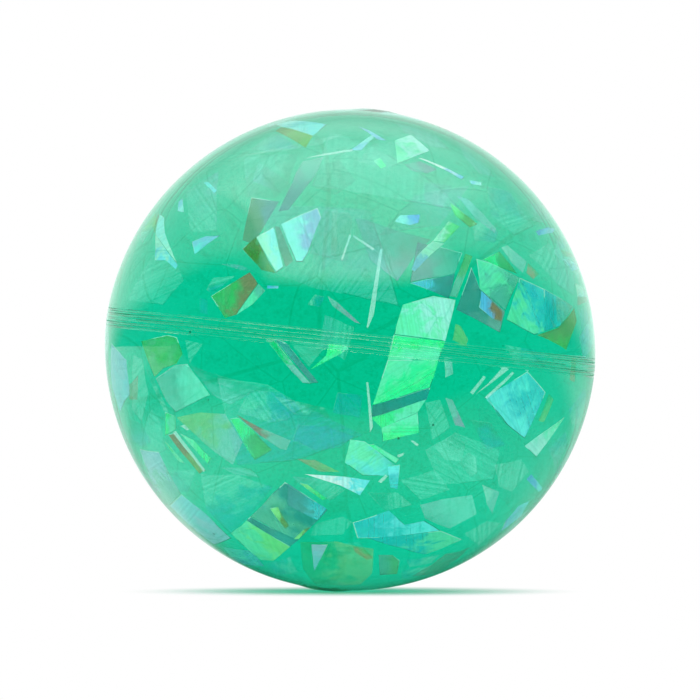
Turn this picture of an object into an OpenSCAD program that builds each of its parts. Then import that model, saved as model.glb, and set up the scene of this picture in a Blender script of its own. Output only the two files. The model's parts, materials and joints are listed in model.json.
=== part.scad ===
/* [Ball] */
// Diameter of the ball at its seam, in millimetres
ball_d = 49; // [35:0.5:70]
// How far each pole falls short of a true sphere
pole_flat = 0.5; // [0:0.05:1]
// Height of the seam above the middle of the ball
seam_lift = 0.75; // [0:0.05:1.5]

/* [Seam] */
// Number of fine lines that the trimmed seam leaves round the ball
seam_lines = 5; // [1:2:7]
// Distance from one seam line to the next
seam_pitch = 0.42; // [0.3:0.01:0.6]
// Width of one seam line
seam_line_w = 0.26; // [0.12:0.01:0.28]
// Depth of one seam line
seam_line_depth = 0.06; // [0.03:0.01:0.1]

/* [Gate marks] */
// Diameter of the raised spot at each pole, where it leaves the ball
gate_d = 6.4; // [4:0.1:9]
// Diameter of the flat that is trimmed on that spot
gate_flat_d = 4; // [2:0.1:6]
// Height of the flat over the pole
gate_h = 0.15; // [0.1:0.05:0.5]

/* [Film flakes] */
// Thickness of the film
film_t = 0.06; // [0.03:0.01:0.1]
// Size of each flake, in hundredths of its drawn outline
flake_size = 100; // [60:5:100]
// Number of places that the flakes round the sides and the back share
rear_places = 132; // [60:6:132]

/* [Hidden] */
$fn = 96;

// The ball's middle is the origin, +Z is the axis of the mould and -Y is the side that is looked at
ball_r = ball_d / 2;
pole_z = ball_r - pole_flat;
upper_h = pole_z - seam_lift;
lower_h = pole_z + seam_lift;
// Each half is a cap of a sphere that goes through the seam circle and the pole
upper_r = (upper_h * upper_h + ball_r * ball_r) / (2 * upper_h);
lower_r = (lower_h * lower_h + ball_r * ball_r) / (2 * lower_h);
upper_c = pole_z - upper_r;
lower_c = lower_r - pole_z;

// The radius of a circle whose chord is a seam line's width and whose rise is its depth
seam_line_r = (seam_line_w * seam_line_w / 4 + seam_line_depth * seam_line_depth) / (2 * seam_line_depth);
// The gate mark is a cone that meets the ball this far below the pole and starts inside the rubber
gate_sag = gate_d * gate_d / (8 * ball_r);
gate_slope = (gate_d - gate_flat_d) / (gate_sag + gate_h);
gate_root = gate_sag + gate_h;

// The crease of a folded flake is a little thicker than the film
crease_d = 1.4 * film_t;

// Flakes are laid out as they show from the front, in hundredths of the ball's radius:
// [right, up] from the middle of the ball, with the seam rolled by this angle
front_roll = 6;
hundredth = ball_r / 100;
// Light bends by this index as it enters the rubber, so a flake lies where the bent ray meets it
rubber_index = 1.5;

RUBBER = [0.03, 0.72, 0.5, 0.35];
ICE = [0.62, 0.98, 0.88];
SKY = [0.35, 0.8, 0.88];
LEAF = [0.3, 0.92, 0.55];
OLIVE = [0.45, 0.55, 0.3];
SLATE = [0.42, 0.62, 0.62];
VEIL = [0.7, 0.92, 0.84];

FLAKES = [
    "left_fold", "square_fold", "slate_bar", "slate_blade", "sail_fold", "ice_panel", "top_fold",
    "mint_kite", "blue_needle", "curl_fold", "slate_fold", "seam_strip", "quad_fold", "brown_scrap",
    "cyan_fold", "olive_fan", "green_wedge", "olive_leaf", "mint_panel", "umber_panel", "slate_streak",
    "olive_blade", "lavender_rim", "lavender_fold", "fin_fold", "leaf_fin", "bottom_fold", "teal_patch",
    "lavender_wedge", "crinkle_band", "olive_sheet", "cyan_sheet", "grey_panel", "cyan_quad",
    "mint_wedge", "mint_sheet", "cyan_tip",
    "upper_veil", "crown_veil", "left_veil", "lower_veil", "low_right_veil",
    "ice_needles", "rim_dashes", "sky_scraps", "slate_scraps", "olive_scraps", "leaf_scraps",
    "upper_shards", "lower_shards", "rim_shards", "deep_shards",
    "rear_ice", "rear_sky", "rear_leaf", "rear_olive", "rear_slate", "rear_veil"
];

function unit(v) = v / norm(v);
function mean(points) = [for (k = [0 : len(points[0]) - 1]) total([for (p = points) p[k]]) / len(points)];
function total(list, k = 0) = k < len(list) ? list[k] + total(list, k + 1) : 0;

// The centre height and the radius of the cap that holds a height z
function cap_at(z) = z > seam_lift ? [upper_c, upper_r] : [lower_c, lower_r];

// A point of the front view, as its x and z on the ball
function rolled(p) = hundredth * [
    p[0] * cos(front_roll) - p[1] * sin(front_roll),
    p[0] * sin(front_roll) + p[1] * cos(front_roll)
];

// Where the level ray through a point of the front view meets the ball
function entry(p) =
    let (at = rolled(p), cap = cap_at(at[1]), rise = at[1] - cap[0])
    [at[0], -sqrt(cap[1] * cap[1] - at[0] * at[0] - rise * rise), at[1]];

// The way that ray goes on inside the rubber
function bent(p) =
    let (
        start = entry(p),
        cap = cap_at(start[2]),
        out = unit(start - [0, 0, cap[0]]),
        straight = -out[1],
        inner = sqrt(1 - (1 - straight * straight) / (rubber_index * rubber_index))
    )
    [0, 1, 0] / rubber_index + (straight / rubber_index - inner) * out;

// The place that lies this many hundredths along the bent ray of a point
function lying(p, depth) = entry(p) + bent(p) * depth * hundredth;

// Where the bent ray of a point meets the plane through a place, square to a normal
function hit(p, place, normal) =
    let (start = entry(p), way = bent(p))
    start + way * ((place - start) * normal) / (way * normal);

// A normal that leans from straight out of the ball, by degrees to the right and up
function leaning(place, lean) =
    let (out = unit(place), east = unit(cross([0, 0, 1], out)), north = cross(out, east))
    unit(out + tan(lean[0]) * east + tan(lean[1]) * north);

// An outline drawn smaller about a middle
function sized(outline, middle) = [for (p = outline) middle + (p - middle) * flake_size / 100];

// The turn that takes +Z to a direction
function turn_to(way) = [0, acos(way[2]), atan2(way[1], way[0])];

// A flat film with these corners, which lie in the plane through place
module sheet(corners, place, normal) {
    turn = turn_to(normal);
    across = [cos(turn[2]) * cos(turn[1]), sin(turn[2]) * cos(turn[1]), -sin(turn[1])];
    along = [-sin(turn[2]), cos(turn[2]), 0];
    translate(place)
        rotate(turn)
            linear_extrude(film_t, center = true)
                polygon([for (c = corners) [(c - place) * across, (c - place) * along]]);
}

// A chain of panels: each [depth, outline] shares its outline's first edge with the panel before it,
// and the middle of its other corners lies that deep
module folded(folds, middle, place, normal, k = 0) {
    if (k < len(folds)) {
        outline = sized(folds[k][1], middle);
        from = hit(outline[0], place, normal);
        edge = hit(outline[1], place, normal) - from;
        free = mean([for (c = [2 : len(outline) - 1]) outline[c]]);
        square = unit(cross(edge, lying(free, folds[k][0]) - from));
        next_normal = square * sign(square * from);
        sheet([for (p = outline) hit(p, from, next_normal)], from, next_normal);
        translate(from)
            rotate(turn_to(unit(edge)))
                cylinder(h = norm(edge), d = crease_d);
        folded(folds, middle, from, next_normal, k + 1);
    }
}

// One flake: how deep its middle lies along the bent ray, its lean, its outline and its further panels
module film(tint, depth, lean, outline, folds = []) {
    middle = mean(outline);
    place = lying(middle, depth);
    normal = leaning(place, lean);
    color(tint) {
        sheet([for (p = sized(outline, middle)) hit(p, place, normal)], place, normal);
        folded(folds, middle, place, normal);
    }
}

// Folded and single flakes of the upper left
module left_fold() {
    film(ICE, 7, [10, 0], [[-78.5, 47], [-77.8, 52], [-77, 55], [-75, 53.5], [-74.5, 47], [-69, 34]], [
        [8, [[-78.5, 47], [-69, 34], [-70, 32.5], [-74, 36], [-78.5, 36]]]
    ]);
}

module square_fold() {
    film(OLIVE, 8, [8, -8], [[-55.5, 21.5], [-40, 31], [-36.5, 26.5], [-45.5, 14], [-50, 12.8]], [
        [10, [[-36.5, 26.5], [-45.5, 14], [-39, 18], [-33.8, 23.8]]]
    ]);
}

module slate_bar() {
    film(SLATE, 9, [12, 4], [[-39.5, 61.2], [-28.5, 59.4], [-38.5, 42.2], [-43, 44]]);
}

module slate_blade() {
    film(SLATE, 10, [-10, 8], [[-19, 76], [-10.5, 77.5], [-14.5, 69.5], [-24.5, 56], [-28.5, 55.5]]);
}

module sail_fold() {
    film(ICE, 6, [8, -5], [[-37.5, 45], [-30.5, 49], [-26.5, 33], [-29.5, 30.8]], [
        [9, [[-37.5, 45], [-29.5, 30.8], [-35, 32], [-43, 40.5]]]
    ]);
}

module ice_panel() {
    film(ICE, 5, [5, 6], [[-27.5, 50.2], [-13, 57], [-11.5, 53], [-17, 38.5], [-19, 35], [-21.5, 35.2]]);
}

// Flakes of the crown and the upper right
module top_fold() {
    film(SKY, 6, [0, 8], [[-27.5, 90.2], [-30, 91.3], [-24, 93], [-9.5, 91], [-15, 86.3]], [
        [8, [[-27.5, 90.2], [-15, 86.3], [-18, 81.4], [-30, 88.5]]]
    ]);
}

module mint_kite() {
    film(LEAF, 9, [-8, 5], [[18, 84.5], [24.5, 87], [32, 80.5], [25, 77.2], [19, 75.2]]);
}

module blue_needle() {
    film(SKY, 5, [0, 0], [[27.5, 77.2], [29, 77], [46, 69.6], [45, 68.6]]);
}

module curl_fold() {
    film(ICE, 5, [10, 8], [[39.5, 51.5], [44, 49.5], [37.5, 42.8], [33, 43.5]], [
        [8, [[33, 43.5], [37.5, 42.8], [25.5, 31.5], [24.3, 32.3], [26.5, 37]]]
    ]);
}

module slate_fold() {
    film(SLATE, 13, [-6, 8], [[27, 43], [34, 41.5], [45, 39], [41.8, 30.4], [23.8, 26.7]], [
        [10, [[23.8, 26.7], [41.8, 30.4], [41, 25.5], [39.5, 20.5]]]
    ]);
}

// The long strip that crosses the seam on the right, in six panels
module seam_strip() {
    film(LEAF, 5.5, [3, 0], [[17.3, 6], [21, 18], [33, 21.5], [42, 20], [38, 3.5]], [
        [5.5, [[17.3, 6], [38, 3.5], [35.5, -4], [15, -4]]],
        [7, [[15, -4], [35.5, -4], [32, -15], [9, -22]]],
        [10, [[9, -22], [32, -15], [30.5, -19.5], [8.5, -27]]],
        [9, [[8.5, -27], [30.5, -19.5], [27, -25], [12.5, -31]]],
        [7, [[12.5, -31], [27, -25], [27.5, -33], [13, -36.5]]]
    ]);
}

module quad_fold() {
    film(LEAF, 9, [5, 5], [[50.5, 36.5], [56, 34.8], [68, 29], [62, 15.5], [52, 24.5]], [
        [10.5, [[62, 15.5], [52, 24.5], [48.5, 33], [42.5, 16], [60, 7]]]
    ]);
}

module brown_scrap() {
    film(OLIVE, 5, [0, 0], [[51.5, 17], [52.5, 23.5], [61, 15], [60.5, 11.5], [57, 12.5]]);
}

module cyan_fold() {
    film(SKY, 7, [5, -4], [[68, 29], [78, 24.5], [78, 7.5], [74, 6], [62.5, 12]], [
        [9, [[78, 24.5], [78, 7.5], [84.5, 9.5], [90, 17.5]]]
    ]);
}

module olive_fan() {
    film(OLIVE, 12, [0, 0], [[90.3, 17], [91.5, 12], [87, 0], [80, 4], [75, 6], [84, 9]]);
}

module green_wedge() {
    film(LEAF, 14, [0, 6], [[53, 36.2], [60, 39.5], [67, 30.5], [60, 33]]);
}

// Flakes of the left side, from the seam down
module olive_leaf() {
    film(OLIVE, 6, [5, 0], [
        [-84, 3.5], [-73, 6], [-69.5, 5], [-67, -1.5], [-69.5, -5.5], [-75, -7.5], [-78.5, -11]
    ]);
}

module mint_panel() {
    film(LEAF, 9, [6, -5], [[-78, -11.5], [-70, -6], [-65, -5.5], [-56, -18], [-70, -25], [-74, -20]]);
}

module umber_panel() {
    film(SLATE, 11, [5, 5], [[-69.5, -27], [-60, -25], [-50, -25.5], [-43, -37], [-47, -46], [-57, -38.5]]);
}

module slate_streak() {
    film(SLATE, 6, [-5, 5], [[-45, -26], [-36, -31], [-23.5, -36], [-25.5, -40], [-28, -39.5], [-36, -34]]);
}

module olive_blade() {
    film(OLIVE, 8, [0, 0], [[-73, -34], [-70.5, -33.3], [-58.8, -48.6], [-60.2, -49.6]]);
}

module lavender_rim() {
    film(SLATE, 6, [0, 0], [[-96.5, 3], [-90, -4], [-89, -18], [-93, -25], [-96.5, -15]]);
}

module lavender_fold() {
    film(SLATE, 8, [0, 0], [[-85, -40], [-77, -41], [-68, -58], [-73, -63], [-80, -54]], [
        [9, [[-68, -58], [-73, -63], [-55, -79], [-48, -76], [-58, -66]]]
    ]);
}

// The fins that meet in a point below the seam
module fin_fold() {
    film(LEAF, 6, [10, 5], [[-30, 4.2], [-25.5, 3], [-12.5, -13], [-15.2, -13.4]], [
        [9, [[-30, 4.2], [-15.2, -13.4], [-18.5, -13], [-33.5, 4]]]
    ]);
}

module leaf_fin() {
    film(LEAF, 10, [-8, 8], [[-8.5, 2.5], [-1.5, 1.8], [-0.5, 0.3], [-16, -8], [-9.5, -2]]);
}

// Flakes of the underside
module bottom_fold() {
    film(LEAF, 7, [5, -5], [[-48, -74], [-41.5, -68.5], [-24, -79], [-31, -85], [-36, -85]], [
        [9.5, [[-41.5, -68.5], [-24, -79], [-21, -76.5], [-40, -67]]],
        [8, [[-40, -67], [-21, -76.5], [-9, -64], [-26, -52.5]]]
    ]);
}

module teal_patch() {
    film(SKY, 4, [0, 0], [[-25, -53], [-9.5, -63.5], [-13, -68], [-25, -62]]);
}

module lavender_wedge() {
    film(SLATE, 5, [5, 0], [[-15.5, -78], [-9, -78], [-14.5, -89]]);
}

module crinkle_band() {
    film(ICE, 6, [0, 10], [[-18, -49.5], [-2, -50.5], [8, -52], [4, -58], [-4, -54]]);
}

module olive_sheet() {
    film(OLIVE, 14, [0, 0], [
        [-20, -77], [-5, -77], [9.5, -80], [9, -90], [4, -95], [-14, -95], [-19, -88]
    ]);
}

module cyan_sheet() {
    film(SKY, 7, [0, 5], [
        [1, -69], [15.5, -64], [22, -70], [30, -68.5], [36.5, -72.5], [7, -75.5], [3, -75.5]
    ], [
        [9, [[7, -75.5], [36.5, -72.5], [45, -76.5], [30, -82.5], [22, -80]]]
    ]);
}

module grey_panel() {
    film(SLATE, 12, [-5, 0], [[28, -62], [36, -60], [49, -58], [51, -66], [40, -72], [30, -67.5]]);
}

// Flakes of the lower right
module cyan_quad() {
    film(SKY, 8, [-6, 4], [[54, -19], [71, -8.5], [78.5, -17], [70, -35.5], [63, -30]]);
}

module mint_wedge() {
    film(LEAF, 6, [-8, 0], [[70, -38.5], [75.5, -34.5], [86.5, -27], [75, -43]]);
}

module mint_sheet() {
    film(LEAF, 11, [5, 5], [[0, -35.5], [6, -36.5], [18, -46], [19, -50], [5, -50], [-2, -45]]);
}

module cyan_tip() {
    film(SKY, 6, [0, 0], [[15, -46.8], [20, -46], [19, -55.5], [16, -55]]);
}

// Large clear sheets that lie deeper and pale the rubber in front of them
module upper_veil() {
    film(VEIL, 25, [-5, 5], [[-35, 58], [8, 56], [20, 17], [-15, 25], [-33, 32]]);
}

module crown_veil() {
    film(VEIL, 24, [5, 0], [[-8, 88], [30, 70], [45, 56], [20, 60], [-15, 66]]);
}

module left_veil() {
    film(VEIL, 18, [5, 0], [[-90, 20], [-78, 40], [-69, 33], [-67, 28], [-75, 18]]);
}

module lower_veil() {
    film(VEIL, 24, [5, -5], [[-53, -11], [-33, -14], [-5, -29], [5, -34], [-20, -44], [-45, -46]]);
}

module low_right_veil() {
    film(VEIL, 18, [0, 0], [[30, -40], [42, -33], [60, -40], [58, -52], [36, -54]]);
}

// Small scraps, grouped by finish
module ice_needles() {
    film(ICE, 5, [0, 0], [[-19, 76.8], [-9, 79], [1, 80.7], [1, 79.8], [-9, 78.2]]);
    film(ICE, 7, [0, 0], [[12, 40.5], [13, 40.3], [9.5, 14], [7, 8.5], [6.6, 9]]);
    film(ICE, 4.5, [0, 0], [[6.5, -13], [7.3, -13], [9.2, -31], [8, -33], [7.4, -24]]);
    film(ICE, 4, [0, 0], [[-71, -33], [-69.8, -32.4], [-57.6, -48.2], [-58.6, -48.8]]);
    film(ICE, 5, [0, 0], [[50, -17.8], [61.5, -6.5], [64.5, -7], [55, -13.5]]);
    film(ICE, 7, [0, 0], [[48, -17], [53.3, -10.3], [54.2, -10.9], [49.2, -17.8]]);
    film(ICE, 3.5, [0, 0], [[53.5, -19], [65, -8.8], [65.9, -9.3], [54.5, -19.7]]);
    film(ICE, 5, [0, 0], [[-0.2, 46.2], [0.5, 45.6], [-3, 35.4], [-3.6, 36]]);
    film(ICE, 6, [0, 0], [[1, 45.4], [1.6, 45.8], [9.8, 40.6], [9.2, 39.8]]);
    film(ICE, 4, [0, 0], [[-68, -30.5], [-66.5, -29.9], [-64.5, -31.8], [-65.3, -32.3]]);
    film(ICE, 4, [0, 0], [[24, -36], [25, -35.9], [27.4, -37.6], [26.5, -38.2]]);
    film(ICE, 4, [0, 0], [[18.8, -42], [21.6, -41], [21.3, -42], [19.3, -43]]);
    film(ICE, 5, [0, 0], [[11.2, -52.4], [12.4, -53], [15.2, -50.4], [14.2, -49.8]]);
}

module rim_dashes() {
    film(ICE, 4, [0, 0], [[86, 37], [91, 35.5], [93, 33], [90, 32]]);
    film(ICE, 4, [0, 0], [[91, 27], [94, 25.5], [95.5, 23.5], [96, 21.5], [92, 21.5]]);
}

module sky_scraps() {
    film(SKY, 8, [0, 0], [[-63.5, 43.5], [-58, 45.5], [-52, 45.8], [-62.5, 38.5]]);
    film(SKY, 6, [0, 0], [[-69.5, 56], [-67, 55.5], [-67.5, 61], [-69, 60]]);
    film(SKY, 6, [0, 0], [[-59, 67.5], [-57, 67.8], [-53.5, 64], [-54.5, 63]]);
    film(SKY, 5, [0, 0], [[-33, 25.7], [-28.4, 25.5], [-28.6, 24.5], [-33, 24.5]]);
    film(SKY, 9, [0, 0], [[0, 80.3], [4.5, 80.5], [11, 87], [9, 86.8], [3, 82.5]]);
    film(SKY, 5, [0, 0], [[3.5, 90.2], [8, 88.4], [14.5, 84.4], [11, 84.8]]);
    film(SKY, 6, [0, 0], [[75, 48], [80, 49.6], [83, 49], [82, 47.4], [76, 46.2]]);
    film(SKY, 5, [0, 0], [[71, -52], [73, -50], [78, -56], [76.5, -57.5]]);
    film(SKY, 6, [0, 0], [[68, -63], [72.5, -61], [69.5, -67], [61, -73.5], [63, -69]]);
    film(SKY, 12, [0, 0], [[20, 54], [28, 54.3], [27.5, 51], [24, 49.8], [18, 51.5]]);
    film(SKY, 6, [0, 0], [[48, 68.4], [53, 67.5], [53, 66.2], [49, 67]]);
}

module slate_scraps() {
    film(SLATE, 14, [0, 0], [[22, 74.5], [28, 76], [35, 73], [31, 71], [25, 72]]);
    film(SLATE, 8, [0, 0], [[60.5, 41], [63, 42], [71, 35.5], [69.5, 31], [65, 35]]);
    film(SLATE, 8, [0, 0], [[53, -54], [60, -57], [57.5, -66], [55, -62]]);
    film(SLATE, 8, [0, 0], [[38, -19], [41, -20], [46, -31], [42, -30]]);
    film(SLATE, 16, [0, 0], [[2, 52.5], [6, 52], [20, 47.5], [32, 44], [26, 38], [19, 27.5], [8, 36]]);
    film(SLATE, 12, [0, 0], [[43, 62], [47.5, 60.5], [59, 48.5], [58, 47], [50, 53]]);
    film(SLATE, 10, [0, 0], [[37.5, -3.5], [40.5, -4], [41, -9.5], [38, -11]]);
    film(SLATE, 8, [0, 0], [[-9, 21.5], [-5, 19], [4, 10.5], [2, 11], [-7, 17.5]]);
}

module olive_scraps() {
    film(OLIVE, 11, [0, 0], [[-80, 50], [-77.5, 55.5], [-76.5, 50], [-78.5, 47]]);
    film(OLIVE, 5, [0, 0], [[71.5, 35], [76, 30.5], [73.5, 28.5], [71, 31]]);
    film(OLIVE, 7, [0, 0], [[85, 40.5], [90, 39], [91.5, 37], [87, 38]]);
    film(OLIVE, 8, [0, 0], [[92, 22], [96, 21.5], [96.5, 20], [92, 18]]);
    film(OLIVE, 10, [0, 0], [[-90, -15], [-85, -10], [-86, -20], [-89, -20]]);
    film(OLIVE, 9, [0, 0], [[42, 10.5], [44, 9.5], [47, 4], [46, 1.5], [41, 4]]);
    film(OLIVE, 8, [0, 0], [[89.5, -3], [91.5, -4], [90.5, -13], [88.5, -12]]);
    film(OLIVE, 6, [0, 0], [[80, -17.5], [82, -20], [77.5, -29], [75.5, -28.5]]);
    film(OLIVE, 8, [0, 0], [[1, -78.5], [6, -80], [9.3, -83.5], [7, -84.5], [2, -81]]);
    film(OLIVE, 8, [0, 0], [[-21, -43.5], [-14, -44], [-4, -48.8], [-12, -48.6]]);
    film(OLIVE, 11, [0, 0], [[-30, 49.5], [-28, 49], [-22.5, 35.5], [-25.5, 33], [-28.5, 41]]);
}

module leaf_scraps() {
    film(LEAF, 8, [0, 0], [[9.5, 76], [12, 77], [14.5, 74], [12.5, 72.8]]);
    film(LEAF, 11, [0, 0], [[-74.3, -25], [-70, -26.5], [-70, -32], [-74.5, -34.5]]);
    film(LEAF, 6, [0, 0], [[-74.5, -36.5], [-72, -39], [-66, -45.5], [-69, -44.5]]);
    film(LEAF, 5, [0, 0], [[-32, -63.5], [-29, -63], [-24.5, -70.5], [-26, -72]]);
    film(LEAF, 5, [0, 0], [[-22.5, -76], [-20.5, -75.8], [-16, -71], [-18.5, -72]]);
    film(LEAF, 4, [0, 0], [[39.6, 21.5], [42.6, 21], [49, 37.5], [46.2, 38.5]]);
    film(LEAF, 15, [0, 0], [[-48, -27.5], [-45, -27], [-39, -32], [-31, -40], [-38, -44], [-42, -38]]);
    film(LEAF, 6, [0, 0], [[-68, -33.5], [-63, -36], [-55.5, -43.5], [-57, -45.5]]);
    film(LEAF, 9, [0, 0], [[-20, -53], [-17, -53.5], [-9, -59.8], [-11, -60.3]]);
    film(LEAF, 10, [0, 0], [[11.5, -82.5], [17, -82.5], [20, -85], [19, -90.5], [12, -91]]);
    film(LEAF, 7, [0, 0], [[7, -37.5], [9.5, -37.5], [19.8, -43.8], [18.4, -45.4]]);
    film(LEAF, 12, [0, 0], [[40, 59], [51, 50.5], [48, 49], [42, 54]]);
}

// Clear shards that show by their edges and by the haze they give
module upper_shards() {
    film(VEIL, 20, [0, 0], [[-43, 77.5], [-21, 79], [-25, 66], [-30, 60.5], [-41, 61.5]]);
    film(VEIL, 16, [0, 0], [[-66, 64], [-53, 72], [-53.5, 48], [-64, 47.5]]);
    film(VEIL, 14, [0, 0], [[-40, 81], [-31, 88], [-21, 81.5], [-33, 79.8]]);
    film(VEIL, 13, [0, 0], [[-57.5, 24], [-55, 29], [-46, 29.5], [-55, 22.5]]);
    film(VEIL, 15, [0, 0], [[-10.5, 56], [-0.5, 55], [1, 52], [-1, 35], [-16, 38.5]]);
    film(VEIL, 10, [0, 0], [[49, 51], [53, 51.5], [59.5, 47.5], [58, 43], [50, 44]]);
    film(VEIL, 16, [0, 0], [[3, 76], [9.5, 83], [17, 84], [24, 76.5], [14, 72.5]]);
    film(VEIL, 10, [0, 0], [[-17, 18], [-14, 22], [-10, 21], [-12, 17]]);
    film(VEIL, 12, [0, 0], [[-52, 34.5], [-44, 34], [-37, 31], [-44, 32]]);
    film(VEIL, 26, [0, 0], [[12, 46], [26, 62], [48, 66], [36, 50]]);
}

module lower_shards() {
    film(VEIL, 13, [0, 0], [[-66, 4], [-59, 2.5], [-64, -5.5]]);
    film(VEIL, 13, [0, 0], [
        [-64, -6], [-53, -10], [-40, -13.5], [-31, -16], [-39, -17], [-48, -22], [-55, -18]
    ]);
    film(VEIL, 15, [0, 0], [
        [-40, -16], [-33, -16.5], [-28, -17], [-19, -23], [-25, -28], [-31, -29], [-45, -25]
    ]);
    film(VEIL, 15, [0, 0], [[-21, -30], [-9, -30.5], [2, -34.5], [-4, -39], [-14, -40], [-23, -36]]);
    film(VEIL, 14, [0, 0], [
        [-60, -50], [-46, -50], [-36, -53], [-31, -55], [-41, -67], [-48, -74], [-58, -64]
    ]);
    film(VEIL, 12, [0, 0], [[-23, -50.5], [-12, -51], [-2, -56], [-8, -60.5], [-20, -54]]);
    film(VEIL, 17, [0, 0], [[-14, -70], [-3, -66.5], [1, -69], [-3, -74], [-16, -74.5]]);
    film(VEIL, 12, [0, 0], [[34, -38.5], [43, -32.5], [46, -38], [45, -44.5], [38, -44]]);
    film(VEIL, 10, [0, 0], [[43.5, -45.5], [47, -41], [50.5, -43], [51, -49], [48.5, -51]]);
    film(VEIL, 8, [0, 0], [[22.5, -84.5], [27, -84.2], [36, -82.5], [33, -86], [24, -87.5]]);
    film(VEIL, 14, [0, 0], [[-24, 3], [-9, 2.2], [-16.5, -7]]);
    film(VEIL, 16, [0, 0], [[20, -52], [34, -48], [40, -56], [28, -60]]);
}

module rim_shards() {
    film(VEIL, 12, [0, 0], [[72, 38], [80, 43], [85, 39], [91, 30], [90.5, 22], [84, 26]]);
    film(VEIL, 8, [0, 0], [[67, 58], [74, 61.5], [81, 54], [78, 51.5], [70, 52.5]]);
    film(VEIL, 5, [0, 0], [[92.5, 16.5], [96, 16], [97, 4], [94, 2]]);
    film(VEIL, 6, [0, 0], [[88.5, -24], [95, -15.5], [96, -21], [92.5, -30], [89.5, -30]]);
    film(VEIL, 8, [0, 0], [[-87, -2], [-83.5, -4], [-81, -18], [-84, -29], [-88, -24]]);
    film(VEIL, 8, [0, 0], [[-90, -28], [-84, -29.5], [-80, -37], [-84, -39], [-89, -36]]);
}

module deep_shards() {
    film(VEIL, 9, [0, 0], [[-46, 77.5], [-30, 81], [-10, 84], [-2, 87], [-12, 82.6], [-30, 79.6]]);
    film(VEIL, 27, [0, 0], [[-37, 76], [-24, 66.5], [-25, 61.5], [-39, 68]]);
    film(VEIL, 14, [0, 0], [[-14, 74], [-4, 76], [2, 68], [-6, 62], [-16, 66]]);
    film(VEIL, 11, [0, 0], [[-7, 56], [-5, 56], [-5.5, 37], [-7.5, 38]]);
    film(VEIL, 16, [0, 0], [[-60, 21], [-57, 20], [-57, 14], [-60, 15]]);
    film(VEIL, 10, [0, 0], [[30, 67], [41, 66], [37, 57], [30, 60]]);
    film(VEIL, 22, [0, 0], [[55, 66], [64, 64], [74, 50], [66, 46], [57, 54]]);
    film(VEIL, 12, [0, 0], [[18, 92], [34, 87], [40, 81], [33, 82], [22, 88]]);
    film(VEIL, 12, [0, 0], [[44, 84], [54, 77], [58, 70], [52, 71], [46, 78]]);
    film(VEIL, 8, [0, 0], [[80, 45], [85, 46.5], [88, 42], [86, 41]]);
    film(VEIL, 10, [0, 0], [[-30, -18.5], [-10, -23], [-8, -27], [-22, -26]]);
    film(VEIL, 8, [0, 0], [[-82, -8], [-80.5, -8], [-72.5, -25], [-74, -26]]);
    film(VEIL, 18, [0, 0], [[-80, -24], [-77, -28], [-74, -40], [-79, -43], [-83, -32]]);
    film(VEIL, 18, [0, 0], [[-75, -49], [-62, -48], [-65, -57], [-74, -57]]);
    film(VEIL, 12, [0, 0], [[-52, -47], [-40, -47.5], [-36, -51], [-46, -50]]);
    film(VEIL, 14, [0, 0], [[-5, -17], [5, -18], [4, -27], [-7, -25]]);
    film(VEIL, 14, [0, 0], [[30, -21], [36, -20], [40, -31], [33, -36]]);
    film(VEIL, 13, [0, 0], [[48, -28], [56, -29], [62, -38], [55, -40]]);
    film(VEIL, 10, [0, 0], [[58, -46], [69, -44], [72, -49], [65, -57], [60, -55]]);
    film(VEIL, 9, [0, 0], [[80, -40], [87, -33], [88, -38], [83, -48]]);
    film(VEIL, 13, [0, 0], [[7, -57], [19, -57], [25, -62], [14, -64.5]]);
    film(VEIL, 10, [0, 0], [[46, -74], [55, -69], [61, -70], [52, -79]]);
    film(VEIL, 22, [0, 0], [[-6, -78], [4, -77], [8, -83], [-4, -86]]);
    film(VEIL, 9, [0, 0], [[21, -89], [33, -87], [30, -91], [21, -93]]);
    film(VEIL, 12, [0, 0], [[-34, -86.5], [-24, -83], [-21, -90], [-29, -91]]);
    film(VEIL, 14, [0, 0], [[62, 2], [74, 0], [80, -4], [66, -5]]);
    film(VEIL, 18, [0, 0], [[-10, 14], [2, 9], [-2, -4], [-12, 2]]);
}

// The flakes round the sides and the back lie on a spiral of even spacing, and take the finishes in turn
rear_finishes = 6;
golden_turn = 180 * (3 - sqrt(5));
// Only places behind this share of the radius are used
rear_from = -0.12;
// None lies in the cone at the back that the front view looks out through
rear_clear = 0.93;
// The first layer's depth and the step to each of the next three, in hundredths of the radius
rear_depth = 10;
rear_step = 4;
rear_layers = 4;
// Widest lean of such a flake, in degrees
rear_lean = 18;

function spiral(k) =
    let (height = 1 - (2 * k + 1) / rear_places, ring = sqrt(1 - height * height))
    [ring * cos(k * golden_turn), ring * sin(k * golden_turn), height];

module rear_flakes(tint, finish) {
    // Widest reach of a flake, so that it stays in its own place on the spiral
    reach = 1.5 / sqrt(rear_places);
    for (k = [finish : rear_finishes : rear_places - 1]) {
        way = spiral(k);
        if (way[1] > rear_from && way[1] < rear_clear) {
            depth = rear_depth + rear_step * (k * 5 % rear_layers);
            place = way * (100 - depth) * hundredth;
            long = reach * (0.75 + 0.25 * sin(k * 47)) * 100 * hundredth * flake_size / 100;
            wide = long * (0.55 + 0.2 * sin(k * 71));
            slant = 0.25 * wide * sin(k * 113);
            color(tint)
                translate(place)
                    rotate(turn_to(leaning(place, rear_lean * [sin(k * 83), cos(k * 59)])))
                        rotate(k * 97)
                            linear_extrude(film_t, center = true)
                                polygon([
                                    [-long, -wide + slant], [long * 0.8, -wide * 0.8],
                                    [long, wide - slant], [-long * 0.7, wide]
                                ]);
        }
    }
}

module rear_ice() { rear_flakes(ICE, 0); }
module rear_sky() { rear_flakes(SKY, 1); }
module rear_leaf() { rear_flakes(LEAF, 2); }
module rear_olive() { rear_flakes(OLIVE, 3); }
module rear_slate() { rear_flakes(SLATE, 4); }
module rear_veil() { rear_flakes(VEIL, 5); }

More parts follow.
